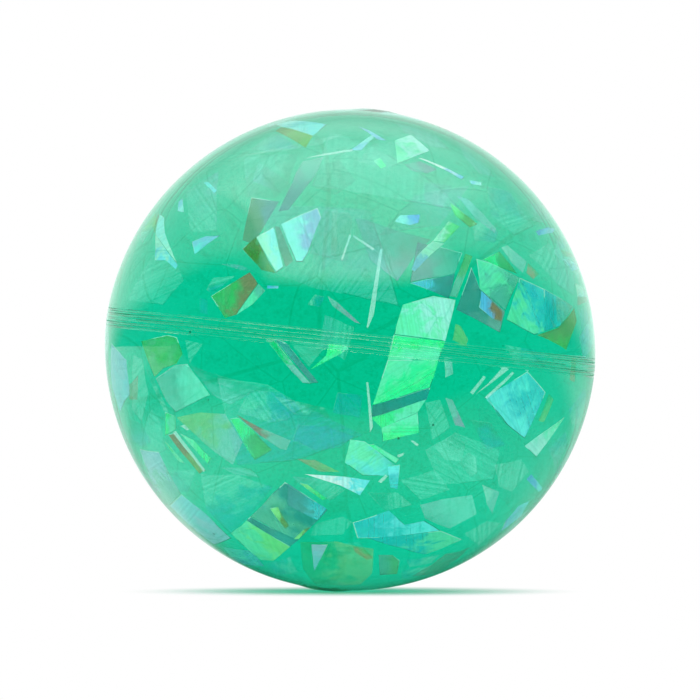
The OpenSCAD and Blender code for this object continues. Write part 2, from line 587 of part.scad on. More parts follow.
// One flake, or one group of flakes, by its node's name
module flake(name) {
    if (name == "left_fold") left_fold();
    if (name == "square_fold") square_fold();
    if (name == "slate_bar") slate_bar();
    if (name == "slate_blade") slate_blade();
    if (name == "sail_fold") sail_fold();
    if (name == "ice_panel") ice_panel();
    if (name == "top_fold") top_fold();
    if (name == "mint_kite") mint_kite();
    if (name == "blue_needle") blue_needle();
    if (name == "curl_fold") curl_fold();
    if (name == "slate_fold") slate_fold();
    if (name == "seam_strip") seam_strip();
    if (name == "quad_fold") quad_fold();
    if (name == "brown_scrap") brown_scrap();
    if (name == "cyan_fold") cyan_fold();
    if (name == "olive_fan") olive_fan();
    if (name == "green_wedge") green_wedge();
    if (name == "olive_leaf") olive_leaf();
    if (name == "mint_panel") mint_panel();
    if (name == "umber_panel") umber_panel();
    if (name == "slate_streak") slate_streak();
    if (name == "olive_blade") olive_blade();
    if (name == "lavender_rim") lavender_rim();
    if (name == "lavender_fold") lavender_fold();
    if (name == "fin_fold") fin_fold();
    if (name == "leaf_fin") leaf_fin();
    if (name == "bottom_fold") bottom_fold();
    if (name == "teal_patch") teal_patch();
    if (name == "lavender_wedge") lavender_wedge();
    if (name == "crinkle_band") crinkle_band();
    if (name == "olive_sheet") olive_sheet();
    if (name == "cyan_sheet") cyan_sheet();
    if (name == "grey_panel") grey_panel();
    if (name == "cyan_quad") cyan_quad();
    if (name == "mint_wedge") mint_wedge();
    if (name == "mint_sheet") mint_sheet();
    if (name == "cyan_tip") cyan_tip();
    if (name == "upper_veil") upper_veil();
    if (name == "crown_veil") crown_veil();
    if (name == "left_veil") left_veil();
    if (name == "lower_veil") lower_veil();
    if (name == "low_right_veil") low_right_veil();
    if (name == "ice_needles") ice_needles();
    if (name == "rim_dashes") rim_dashes();
    if (name == "sky_scraps") sky_scraps();
    if (name == "slate_scraps") slate_scraps();
    if (name == "olive_scraps") olive_scraps();
    if (name == "leaf_scraps") leaf_scraps();
    if (name == "upper_shards") upper_shards();
    if (name == "lower_shards") lower_shards();
    if (name == "rim_shards") rim_shards();
    if (name == "deep_shards") deep_shards();
    if (name == "rear_ice") rear_ice();
    if (name == "rear_sky") rear_sky();
    if (name == "rear_leaf") rear_leaf();
    if (name == "rear_olive") rear_olive();
    if (name == "rear_slate") rear_slate();
    if (name == "rear_veil") rear_veil();
}

// The fine lines that trimming leaves along the seam, as rings to cut
module seam_rings() {
    side_lines = (seam_lines - 1) / 2;
    for (k = [-side_lines : side_lines]) {
        height = seam_lift + k * seam_pitch;
        cap = cap_at(height);
        skin_r = sqrt(cap[1] * cap[1] - (height - cap[0]) * (height - cap[0]));
        translate([0, 0, height])
            rotate_extrude()
                translate([skin_r - seam_line_depth + seam_line_r, 0])
                    circle(seam_line_r);
    }
}

// The trimmed spot on a pole, raised above a pole at the top
module gate_mark() {
    height = gate_root + gate_h;
    translate([0, 0, pole_z - gate_root])
        cylinder(h = height, d1 = gate_flat_d + gate_slope * height, d2 = gate_flat_d);
}

// A half of the ball: its cap and gate mark, less the seam lines and the places that the flakes fill
module rubber_half(side) {
    cap = side > 0 ? [upper_c, upper_r] : [lower_c, lower_r];
    color(RUBBER)
        difference() {
            union() {
                intersection() {
                    translate([0, 0, cap[0]])
                        sphere(cap[1]);
                    translate([-ball_d, -ball_d, side > 0 ? seam_lift : seam_lift - 2 * ball_d])
                        cube(2 * ball_d);
                }
                rotate([side > 0 ? 0 : 180, 0, 0])
                    gate_mark();
            }
            seam_rings();
            for (name = FLAKES) flake(name);
        }
}

module upper_half() { rubber_half(1); }
module lower_half() { rubber_half(-1); }

upper_half();
lower_half();
for (name = FLAKES) flake(name);
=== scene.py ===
# %% [markdown]
# # A clear rubber ball filled with iridescent film
# The ball is moulded in two halves from clear green rubber, and scraps of thin iridescent film are
# cast into it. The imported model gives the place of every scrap. This lesson dresses it: a skin of
# rubber that bends light as the real one does, and one crinkled film for each scrap.

# %% Load the fixed frame
import json
import bpy
import numpy as np
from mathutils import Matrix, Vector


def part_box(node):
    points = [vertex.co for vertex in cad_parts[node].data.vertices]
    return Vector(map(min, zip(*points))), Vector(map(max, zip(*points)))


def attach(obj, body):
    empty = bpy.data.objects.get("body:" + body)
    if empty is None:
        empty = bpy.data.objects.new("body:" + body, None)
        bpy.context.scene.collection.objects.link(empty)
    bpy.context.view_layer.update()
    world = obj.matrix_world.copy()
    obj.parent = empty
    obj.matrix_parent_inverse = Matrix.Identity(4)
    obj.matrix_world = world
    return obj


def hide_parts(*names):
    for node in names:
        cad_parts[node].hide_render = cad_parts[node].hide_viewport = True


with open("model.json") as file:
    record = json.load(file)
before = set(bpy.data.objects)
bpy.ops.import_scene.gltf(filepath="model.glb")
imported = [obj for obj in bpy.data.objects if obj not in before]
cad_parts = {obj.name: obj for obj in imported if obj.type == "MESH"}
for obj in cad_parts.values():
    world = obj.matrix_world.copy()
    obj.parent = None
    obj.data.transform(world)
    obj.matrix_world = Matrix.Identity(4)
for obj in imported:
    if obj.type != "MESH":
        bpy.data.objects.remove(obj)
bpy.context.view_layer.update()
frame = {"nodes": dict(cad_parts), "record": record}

MM = 0.001  # the scene is in metres, and the lesson works in millimetres
print("nodes in the frame:", len(frame["nodes"]))

# %% [markdown]
# ## The camera
# The photograph is taken level with the middle of the ball, through a long lens, and the ball has
# rolled a little, so its seam slopes. The part's own axis stays upright here and the camera is
# rolled instead, which gives the same picture. A long lens far away keeps the ball's outline a
# true circle.

# %% Camera
ROLL = np.radians(6.0)        # slope of the seam in the picture
VIEW_DISTANCE = 1000.0        # millimetres from the middle of the ball
PICTURE_WIDTH = 69.86         # millimetres that the picture spans at the ball
SENSOR = 36.0                 # width of the camera's sensor in millimetres

RIGHT = np.array([np.cos(ROLL), 0.0, np.sin(ROLL)])   # of the picture
UP = np.array([-np.sin(ROLL), 0.0, np.cos(ROLL)])     # of the picture
AWAY = np.array([0.0, 1.0, 0.0])                      # from the camera

camera_data = bpy.data.cameras.new("photo_camera")
camera_data.sensor_width = SENSOR
camera_data.lens = SENSOR * VIEW_DISTANCE / PICTURE_WIDTH
camera_data.clip_start = 0.05
camera = bpy.data.objects.new("photo_camera", camera_data)
bpy.context.scene.collection.objects.link(camera)
camera.location = (0.0, -VIEW_DISTANCE * MM, 0.0)
camera.rotation_euler = (np.pi / 2, -ROLL, 0.0)
bpy.context.scene.camera = camera
bpy.context.scene.view_settings.view_transform = "Standard"
print(f"lens {camera_data.lens:.0f} mm at {VIEW_DISTANCE:.0f} mm")

# %% [markdown]
# ## Meshes from arrays
# Blender's own spheres and planes could be bent into shape, but then their points lie where no
# detail is. So every new piece is a grid of points worked out with numpy. One helper closes a grid
# into a mesh: rings of points run round a first point and, on a closed skin, a last point. Quads
# join ring to ring and triangles join the end rings to the end points, so no pole is left open.

# %% Ring meshes
def ring_faces(rings, columns, start=0, last_point=False):
    """Faces of `rings` rings of `columns` points that follow one first point at index `start`.

    Ring k, column c is point start + 1 + k * columns + c. A fan joins the first point to ring 0,
    quads join ring k to ring k + 1, and a second fan closes the last ring if it has a last point.
    """
    here = np.arange(columns)
    after = (here + 1) % columns
    first = start + 1
    fan = np.column_stack([np.full(columns, start), first + here, first + after])
    row = np.arange(rings - 1)[:, None] * columns + first
    next_row = row + columns
    quads = np.stack([row + here, next_row + here, next_row + after, row + after], axis=-1)
    faces = [fan.tolist(), quads.reshape(-1, 4).tolist()]
    if last_point:
        end = first + rings * columns
        rim = end - columns
        faces.append(np.column_stack([np.full(columns, end), rim + after, rim + here]).tolist())
    return sum(faces, [])


def mesh_piece(name, points_mm, faces):
    """A smooth mesh object at the origin, from points in millimetres and the corners of faces."""
    mesh = bpy.data.meshes.new(name)
    mesh.from_pydata((points_mm * MM).tolist(), [], faces)
    mesh.polygons.foreach_set("use_smooth", np.ones(len(mesh.polygons), dtype=bool))
    mesh.update()
    piece = bpy.data.objects.new(name, mesh)
    bpy.context.scene.collection.objects.link(piece)
    return piece


print("faces of two rings of 6 points:", len(ring_faces(2, 6, last_point=True)))

# %% [markdown]
# ## The skin of the ball
# Each half of a moulded ball is a cap of a sphere that is a little flatter than a true half. The
# halves meet a little above the middle, and each pole has a low trimmed spot where the mould was
# filled. Two shells could stand for the halves. But they are vulcanised into one body, and light
# sees no border between them, so the skin is one closed surface: a profile that is turned round
# the axis. A face at the bond inside it would act as a false mirror.

# %% Sizes of the skin, read from the frame
upper_low, upper_high = (np.array(corner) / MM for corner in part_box("upper_half"))
BALL_R = 24.5                 # at the seam
SEAM_Z = upper_low[2]         # the seam lies a little above the middle
GATE_TOP = upper_high[2]      # the trimmed flat at each pole
GATE_H = 0.15                 # its height over the pole
GATE_FLAT_R = 0.8             # its radius
GATE_R = 3.2                  # and that of its foot
POLE_Z = GATE_TOP - GATE_H


def cap_circle(height):
    """Radius and centre height of the circle through the seam's edge and a pole `height` above it.

    The radius is (height^2 + ball^2) / (2 height), and the centre lies that far below the pole.
    """
    radius = (height**2 + BALL_R**2) / (2 * height)
    return radius, height - radius


upper_r, upper_drop = cap_circle(POLE_Z - SEAM_Z)
lower_r, lower_drop = cap_circle(POLE_Z + SEAM_Z)
upper_c = SEAM_Z + upper_drop
lower_c = SEAM_Z - lower_drop
print(f"seam at {SEAM_Z:.2f} mm, caps of radius {upper_r:.2f} and {lower_r:.2f} mm")

# %% The profile, from pole to pole
SEAM_BAND = 1.35              # half the width of the finely meshed band at the seam
FIRST_RING_R = 0.4            # radius of the ring next to a pole
GATE_RINGS = 14
ARC_RINGS = 66
BAND_RINGS = 92


def cap_profile(radius, centre, sign):
    """Points (r, z) of one half from its pole to the seam band.

    The gate is a low swelling on the cap, its height times (1 + cos(b)) / 2 with b from 0 to 180
    degrees between its flat and its foot. Then comes an arc of the cap's circle: r = R sin(a) and
    z = centre + R cos(a), with the angle a taken in even steps down to the band.
    """
    gate_r = np.linspace(FIRST_RING_R, GATE_R, GATE_RINGS)
    down = np.clip((gate_r - GATE_FLAT_R) / (GATE_R - GATE_FLAT_R), 0, 1)
    swelling = GATE_H * (1 + np.cos(np.pi * down)) / 2
    gate_z = centre + sign * (np.sqrt(radius**2 - gate_r**2) + swelling)
    gate = np.column_stack([gate_r, gate_z])
    first = np.arcsin(GATE_R / radius)
    band_edge = SEAM_Z + sign * SEAM_BAND
    last = np.arccos(sign * (band_edge - centre) / radius)
    angle = np.linspace(first, last, ARC_RINGS)[1:]
    arc = np.column_stack([radius * np.sin(angle), centre + sign * radius * np.cos(angle)])
    return np.vstack([gate, arc])


band_z = np.linspace(SEAM_Z + SEAM_BAND, SEAM_Z - SEAM_BAND, BAND_RINGS)[1:-1]
band_r = np.where(
    band_z > SEAM_Z,
    np.sqrt(upper_r**2 - (band_z - upper_c) ** 2),
    np.sqrt(lower_r**2 - (band_z - lower_c) ** 2),
)
profile = np.vstack([
    cap_profile(upper_r, upper_c, 1.0),
    np.column_stack([band_r, band_z]),
    cap_profile(lower_r, lower_c, -1.0)[::-1],
])
print("profile points:", len(profile))

# %% [markdown]
# ## The trimmed seam
# Rubber squeezes out between the halves of a mould, and trimming it leaves a band of fine lines
# round the ball. They come and go, wander up and down a little, and are fainter at the back.
# Grooves could be cut by a boolean, but it leaves ragged faces on so fine a mesh. Here the grid
# itself moves: each point of the band goes in by the depth of its line, and up or down with the
# wander of the seam.

# %% Seam lines that wander
SEAM_PITCH = 0.42             # from line to line
SEAM_LINES = np.arange(-2, 3)
LINE_HALF_WIDTH = 0.13
LINE_DEPTH = 0.06
BACK_SHARE = 0.1              # what is left of that depth at the back, where trimming was cleaner
SIDE_SHARE = 0.4              # how far it has grown from there to its full depth at the sides
LINE_STRENGTH = 0.72          # of a line, on average
STRENGTH_WAVES = ((0.2, 5, 2.3), (0.16, 17, 4.1))   # height, count round the ball, phase by line
WANDER_WAVES = ((0.05, 3, 0.4), (0.025, 8, 1.1))    # millimetres, count round the ball, phase
COLUMNS = 400


def front_share(turn):
    """How strong the seam is at an angle: full in front, falling towards the back as a sine."""
    return BACK_SHARE + (1 - BACK_SHARE) * np.clip(SIDE_SHARE - np.sin(turn), 0, 1)


def seam_line(line, z, turn):
    """Distance from the middle of one seam line, in half widths, and the line's strength there.

    The strength comes and goes as a sum of two waves round the ball, with phases of its own.
    """
    away = (z - (SEAM_Z + line * SEAM_PITCH)) / LINE_HALF_WIDTH
    swells = (a * np.sin(count * turn + phase * line) for a, count, phase in STRENGTH_WAVES)
    return away, sum(swells, LINE_STRENGTH)


def seam_depth(z, turn):
    """How deep the seam cuts: each line is a smooth trough, depth times (1 - away^2)^2."""
    lines = [seam_line(line, z, turn) for line in SEAM_LINES]
    return LINE_DEPTH * front_share(turn) * sum(
        strength * np.clip(1 - away**2, 0, None) ** 2 for away, strength in lines
    )


def seam_wander(z, turn):
    """How far the seam strays up or down: two waves round the ball, times (1 - (dz / band)^2)^2."""
    stray = sum(height * np.sin(count * turn + phase) for height, count, phase in WANDER_WAVES)
    return stray * np.clip(1 - ((z - SEAM_Z) / SEAM_BAND) ** 2, 0, None) ** 2


turn = np.linspace(0, 2 * np.pi, COLUMNS, endpoint=False)
ring_r = profile[:, :1] - seam_depth(profile[:, 1:], turn)
ring_z = profile[:, 1:] + seam_wander(profile[:, 1:], turn)
skin = np.stack([ring_r * np.cos(turn), ring_r * np.sin(turn), ring_z], axis=-1)
skin_points = np.vstack([[0, 0, GATE_TOP], skin.reshape(-1, 3), [0, 0, -GATE_TOP]])
skin_faces = ring_faces(len(profile), COLUMNS, last_point=True)
rubber_body = mesh_piece("rubber_body", skin_points, skin_faces)
print("skin faces:", len(skin_faces))

# %% [markdown]
# ## Torn lips and shaded walls
# Trimming tears the upper lip of a line, which then scatters light, and the wall below it lies in
# shade. These faces could have materials of their own. But light that goes into a clear body
# through one material has to come out through the same one, so the faces only carry marks, in
# strips along the lines, and the one rubber reads them: it roughens the lips and paints the
# shade of the walls as a darker colour.

# %% Strips along the seam
STRIP_HALF_WIDTHS = {         # on each line and on finer ones between, in a line's half widths
    -2.0: 0.2, -1.5: 0.16, -1.0: 0.3, -0.5: 0.2, 0.0: 0.5,
    0.5: 0.2, 1.0: 0.3, 1.5: 0.16, 2.0: 0.25,
}
LIP_PLACE = 0.7               # the torn lip lies above the middle of its line by this many of them
SHADE_PLACE = -0.4            # and the shaded wall below it
STRIP_FROM = 0.5              # strength of a line from which its lip is torn
TORN, SHADED = 1, 2


def add_layer(piece, key, values, domain):
    """Keep one number, or one colour in three columns, for each point or face of a piece."""
    if values.ndim == 2:
        layer = piece.data.attributes.new(key, "FLOAT_COLOR", domain)
        layer.data.foreach_set("color", np.column_stack([values, np.ones(len(values))]).ravel())
    else:
        layer = piece.data.attributes.new(key, "FLOAT", domain)
        layer.data.foreach_set("value", values)


quad_z = (profile[:-1, 1:] + profile[1:, 1:]) / 2
quad_turn = turn + np.pi / COLUMNS
strips = np.zeros((len(profile) - 1, COLUMNS), dtype=int)
for line, half in STRIP_HALF_WIDTHS.items():
    away, strength = seam_line(line, quad_z, quad_turn)
    torn = strength * front_share(quad_turn) > STRIP_FROM
    strips[(np.abs(away - LIP_PLACE) < half * strength) & torn] = TORN
    strips[(np.abs(away - SHADE_PLACE) < half * strength) & torn] = SHADED
for key, kind in {"torn_lip": TORN, "shaded_wall": SHADED}.items():
    marks = np.zeros(len(skin_faces))
    marks[COLUMNS:COLUMNS + strips.size] = strips.ravel() == kind
    add_layer(rubber_body, key, marks, "FACE")
print("faces on torn lips:", (strips == TORN).sum())
print("faces on shaded walls:", (strips == SHADED).sum())

# %% [markdown]
# ## A bench for shader nodes
# Every finish is a tree of shader nodes. They could be added and linked one by one, but that takes
# three lines for each. A small bench does it in one: what is given by name goes to the node's
# setting or socket of that name, and another node's output is linked there.

# %% Node bench
class NodeBench:
    """Adds nodes to the shader tree of a material or a world, which it empties first."""

    def __init__(self, owner):
        owner.use_nodes = True
        self.tree = owner.node_tree
        self.tree.nodes.clear()

    def feed(self, socket, value):
        """Link another node's output to a socket, or set a plain number or colour on it."""
        if isinstance(value, bpy.types.NodeSocket):
            self.tree.links.new(value, socket)
        else:
            socket.default_value = value

    def add(self, kind, *numbered, **named):
        """A node with its settings and sockets given by name, or its sockets by number."""
        node = self.tree.nodes.new("ShaderNode" + kind)
        for key, value in named.items():
            if hasattr(node, key):
                setattr(node, key, value)
            else:
                self.feed(node.inputs[key.replace("_", " ")], value)
        for socket, value in zip(node.inputs, numbered):
            self.feed(socket, value)
        return node

    def math(self, operation, first, second, clamp=False):
        """Two values put through one arithmetic step, kept from 0 to 1 if it clamps."""
        node = self.add("Math", first, second, operation=operation, use_clamp=clamp)
        return node.outputs["Value"]

    def step(self, value, low, high, start=0.0, end=1.0, way="SMOOTHSTEP"):
        """Goes from start to end while the value goes from low to high, and stays there beyond."""
        ends = dict(From_Min=low, From_Max=high, To_Min=start, To_Max=end)
        node = self.add("MapRange", interpolation_type=way, Value=value, **ends)
        return node.outputs["Result"]

    def mix(self, share, first, second):
        """Two colours mixed: the first where the share is 0, and the second where it is 1."""
        node = self.add("Mix", data_type="RGBA", Factor=share, A=first, B=second)
        return node.outputs["Result"]

    def layer(self, key, output="Fac"):
        """What a layer of the piece's points or faces says."""
        return self.add("Attribute", attribute_name=key).outputs[output]

    def place(self):
        """Where a point of the piece is, in the piece's own metres."""
        return self.add("TexCoord").outputs["Object"]


print("materials before the first finish:", len(bpy.data.materials))

# %% [markdown]
# ## Clear green rubber
# The colour is in the depth of the rubber, not on its skin: red light dies within a centimetre or
# two and green goes through the whole ball. A green glass skin would colour thin and thick places
# alike. An absorbing volume gives the depth, under a clear glossy skin of index 1.5. The skin lets
# lamp light straight in, so that the scraps inside are lit as they are in a real ball. Fine dust
# clings to rubber: it dims the skin in a fine grain, gathers in hairlines and a few dark specks,
# and glows a little towards the rim, which sheen gives. The torn lips of the seam are rough and so
# look pale, and shade is painted on its shaded walls as a darker colour.

# %% Rubber
LOSS_PER_MM = np.array([0.14, 0.0115, 0.0252])   # red, green and blue light lost in each millimetre
DENSITY = 145.0               # per metre, for a colour that loses everything
RUBBER_INDEX = 1.5
TORN_ROUGHNESS = 0.7          # of the torn lips along the seam
# Painted shade: the darker colour that the shaded walls of the seam lines let through.
WALL_SHADE_PAINT = (0.3, 0.66, 0.56, 1)                 # what the shaded walls of its lines let through
SHEEN = dict(Sheen_Weight=0.3, Sheen_Roughness=0.35, Sheen_Tint=(0.15, 1.0, 0.65, 1))
DUST = {                      # texture, output, where the skin gets clean, and the dust's tint
    "grain": ("TexNoise", "Fac", (0.36, 0.52), (0.66, 0.86, 0.81, 1)),
    "hairlines": ("TexVoronoi", "Distance", (0.003, 0.012), (0.48, 0.8, 0.71, 1)),
    "specks": ("TexVoronoi", "Distance", (0.022, 0.045), (0.02, 0.16, 0.12, 1)),
}
DUST_TEXTURE = {              # scales count cells in each metre
    "grain": dict(Scale=2800.0, Detail=3.0, Roughness=0.75),
    "hairlines": dict(feature="DISTANCE_TO_EDGE", Scale=130.0),
    "specks": dict(Scale=230.0),
}


def clear_rubber():
    """Glass-clear skin over an absorbing volume, with dust in a fine grain, hairlines and specks.

    Each kind of dust is laid over the colour before it, where its texture is below the clean range.
    The volume's colour is 1 - loss / density, so that light falls as exp(-loss * path).
    """
    material = bpy.data.materials.new("clear_rubber")
    bench = NodeBench(material)
    place = bench.place()
    colour = (1, 1, 1, 1)
    for kind, (texture, output, clean, dust) in DUST.items():
        cells = bench.add(texture, **DUST_TEXTURE[kind], Vector=place)
        colour = bench.mix(bench.step(cells.outputs[output], *clean), dust, colour)
    # The shaded walls of the seam get painted shade, a darker colour.
    skin_shader = bench.add(
        "BsdfPrincipled", IOR=RUBBER_INDEX, Transmission_Weight=1.0, **SHEEN,
        Base_Color=bench.mix(bench.layer("shaded_wall"), colour, WALL_SHADE_PAINT),
        Roughness=bench.step(bench.layer("torn_lip"), 0.0, 1.0, 0.0, TORN_ROUGHNESS, "LINEAR"),
    )
    lamp_ray = bench.add("LightPath").outputs["Is Shadow Ray"]
    clear = bench.add("BsdfTransparent")
    surface = bench.add("MixShader", lamp_ray, skin_shader.outputs["BSDF"], clear.outputs["BSDF"])
    tint = (*(1 - LOSS_PER_MM / MM / DENSITY), 1)
    depth = bench.add("VolumeAbsorption", Density=DENSITY, Color=tint)
    bench.add("OutputMaterial", Surface=surface.outputs["Shader"], Volume=depth.outputs["Volume"])
    return material


rubber_body.data.materials.append(clear_rubber())
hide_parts("upper_half", "lower_half")
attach(rubber_body, "root")
print("light left after one crossing:", np.exp(-LOSS_PER_MM * 2 * BALL_R).round(3))

# %% [markdown]
# ## Film scraps from the frame
# The frame holds every scrap as a thin flat solid, or as flat panels that meet at creases. Their
# outlines could be typed in again, but the frame already has them. The outer face of each panel is
# found from its triangles: those that share one plane are one face, and a face that looks outwards
# and is wider than the film is thick is a panel.

# %% Panels of a scrap
FILM_WIDTH_LEAST = 0.1        # millimetres; the cut walls of the film are narrower
AREA_LEAST = 1e-5             # square millimetres; a smaller triangle has no clear normal
SAME_WAY = 0.9998             # cosine between the normals of one face
SAME_REACH = 0.012            # millimetres between the planes of one face
ASLANT = [0.3, 0.5, 0.8]      # a direction that no panel looks in


def node_triangles(name):
    """Corners of a node's triangles, an array of (count, 3 corners, 3 axes) in millimetres."""
    mesh = frame["nodes"][name].data
    mesh.calc_loop_triangles()
    places = np.empty(len(mesh.vertices) * 3)
    mesh.vertices.foreach_get("co", places)
    corners = np.empty(len(mesh.loop_triangles) * 3, dtype=np.int32)
    mesh.loop_triangles.foreach_get("vertices", corners)
    return places.reshape(-1, 3)[corners].reshape(-1, 3, 3) / MM


def film_panels(name):
    """The panels of a scrap, from top to bottom of the picture: (outline corners, middle, normal).

    Two triangles share a face if their unit normals and their distances from the origin agree. The
    corners are put in order by their angle about the middle.
    """
    triangles = node_triangles(name)
    square = np.cross(triangles[:, 1] - triangles[:, 0], triangles[:, 2] - triangles[:, 0])
    area = np.linalg.norm(square, axis=1) / 2
    clear = area > AREA_LEAST
    triangles, square, area = triangles[clear], square[clear], area[clear]
    normals = square / (2 * area[:, None])
    reach = np.einsum("ij,ij->i", normals, triangles[:, 0])
    alike = (normals @ normals.T > SAME_WAY) & (np.abs(reach[:, None] - reach) < SAME_REACH)
    face_of = alike.argmax(axis=1)
    panels = []
    for face in np.unique(face_of):
        mine = face_of == face
        corners = np.unique(triangles[mine].reshape(-1, 3).round(4), axis=0)
        middle = np.average(triangles[mine].mean(axis=1), axis=0, weights=area[mine])
        length = np.ptp(corners, axis=0).max()
        if normals[face] @ middle > 0 and area[mine].sum() / length > FILM_WIDTH_LEAST:
            across = np.cross(normals[face], ASLANT)
            across /= np.linalg.norm(across)
            along = np.cross(normals[face], across)
            angle = np.arctan2((corners - middle) @ along, (corners - middle) @ across)
            panels.append((corners[np.argsort(angle)], middle, normals[face]))
    return sorted(panels, key=lambda panel: -(panel[1] @ UP))


print("panels of the seam strip:", len(film_panels("seam_strip")))

# %% [markdown]
# ## One crinkled panel
# A scrap of film is never flat. Bump in its material could feign that, but its outline would stay
# straight. So a panel is a grid of two parameters: t walks round its outline and s goes from its
# middle to its rim, P(s, t) = middle + s (rim(t) - middle). A sum of waves with different
# directions lifts it along its normal, and its gloss breaks up as on real film. Rows crowd near
# the rim, so that the cut edge of the film has faces of its own.

# %% Panel grid and crinkle
ROWS = np.array([0.18, 0.36, 0.54, 0.7, 0.84, 0.93, 0.97, 1.0])
RIM_STEP = 0.3                # millimetres between points round the rim
WAVE_COUNT = 14
WAVE_LENGTHS = (1.1, 5.0)     # the shortest and the longest wave in millimetres
CRINKLE = 0.008               # height of a wave for each millimetre of its length

wave_draws = np.random.default_rng(7)
wave_way = wave_draws.normal(size=(WAVE_COUNT, 3))
wave_way /= np.linalg.norm(wave_way, axis=1)[:, None]
wave_length = wave_draws.uniform(*WAVE_LENGTHS, WAVE_COUNT)
wave_phase = wave_draws.uniform(0, 2 * np.pi, WAVE_COUNT)


def crinkle(points):
    """Height of the crinkles at points: the sum of waves a sin(2 pi (p . way) / length + phase)."""
    turns = 2 * np.pi * (points @ wave_way.T) / wave_length + wave_phase
    return (CRINKLE * wave_length * np.sin(turns)).sum(axis=-1)


def panel_grid(corners, middle, normal):
    """Points of a panel, its middle first and then ring by ring, and the number of columns.

    The rim is walked in even steps that also stop at every corner, and ring s lies at middle +
    s (rim - middle). Every point is then lifted along the normal by the crinkle there.
    """
    closed = np.vstack([corners, corners[:1]])
    walk = np.concatenate([[0], np.cumsum(np.linalg.norm(np.diff(closed, axis=0), axis=1))])
    even = np.linspace(0, walk[-1], int(walk[-1] / RIM_STEP) + 3, endpoint=False)
    stops = np.unique(np.concatenate([even, walk[:-1]]).round(5))
    rim = np.column_stack([np.interp(stops, walk, closed[:, axis]) for axis in range(3)])
    grid = middle + ROWS[:, None, None] * (rim - middle)
    points = np.vstack([middle, grid.reshape(-1, 3)])
    return points + crinkle(points)[:, None] * normal, len(stops)


print(f"highest wave of the crinkle: {CRINKLE * wave_length.max():.3f} mm")

# %% [markdown]
# ## Colours of the film
# The film shows the colours of thin layers. Where it mirrors the light, that reflection is painted
# into its colour: the pale mint, ice, cyan, lavender and white are the film's tint with its
# reflection painted in. Olive, umber and slate are where it is seen against the light. Each panel
# runs from one named colour to another. The names are what the eye sees through the ball. Painted
# as they are, they would come out too green, so the paint first gives back what the rubber in
# front of it will take away.

# %% Named film colours
# The pale colours are the film's tint with its reflection of the light painted in.
SEEN = {
    "white": (214, 255, 244), "mint_white": (152, 255, 222), "ice": (130, 250, 236),
    "cyan": (85, 232, 236), "sky": (105, 212, 226), "blue": (70, 194, 234),
    "lavender": (132, 206, 226), "mint": (95, 242, 188), "leaf": (20, 240, 152),
    "lime": (118, 240, 148), "grass": (70, 190, 80), "green": (5, 182, 104),
    "olive": (92, 168, 92), "brown": (104, 132, 78), "umber": (86, 150, 112),
    "slate": (96, 172, 158), "grey": (82, 194, 164), "teal": (8, 168, 152),
    "deep": (46, 154, 140), "aqua": (20, 206, 200), "sage": (80, 192, 128),
}
EMERALD = np.array([0.001, 0.54, 0.28])          # the rubber's own depth, as light
HAZE = 0.1                    # what the mirrored soft box adds over the upper part
HAZE_FROM = 0.27              # shares of the radius where that part begins above the middle
HAZE_TOP = 0.72               # where it ends below the top
HAZE_REACH = 0.55             # and where it ends at the sides
HAZE_FADE = 0.12              # over this share of the radius it comes and goes
FILM_LEAST = 0.02             # no film is darker than this
WAY_IN_AND_OUT = 2.3          # path of the light to a scrap and back, in depths of the scrap
DEPTH_MOST = 8                # millimetres of depth that the paint makes up for


def linear(colour):
    """A colour of 0 to 255 as light.

    With c from 0 to 1, that is c / 12.92 below 0.04045, and ((c + 0.055) / 1.055)^2.4 above.
    """
    c = np.asarray(colour) / 255
    return np.where(c < 0.04045, c / 12.92, ((c + 0.055) / 1.055) ** 2.4)


def film_light(points, cover, name):
    """The paint that makes a film at these points look like a named colour, seen through the ball.

    The skin mirrors the soft box over the upper part of the ball, and that haze is taken off first.
    A film that covers the share `cover` of what lies behind it then shows
    cover * film + (1 - cover) * emerald, so film = (seen - (1 - cover) * emerald) / cover. The
    rubber in front leaves exp(-loss * path) of the light on its way in and out, and what it takes
    is given back.
    """
    height = points @ UP / BALL_R
    rise = np.clip((height - HAZE_FROM) / HAZE_FADE, 0, 1)
    fall = np.clip((HAZE_TOP - height) / HAZE_FADE, 0, 1)
    inward = np.clip((HAZE_REACH - np.abs(points @ RIGHT) / BALL_R) / HAZE_FADE, 0, 1)
    seen = linear(SEEN[name]) - HAZE * (rise * fall * inward)[:, None]
    film = np.clip((seen - (1 - cover) * EMERALD) / cover, FILM_LEAST, 1)
    path = WAY_IN_AND_OUT * np.clip(BALL_R - np.linalg.norm(points, axis=1), 0, DEPTH_MOST)
    return np.clip(film * np.exp(LOSS_PER_MM * path[:, None]), 0, 1)


print("named film colours:", len(SEEN))

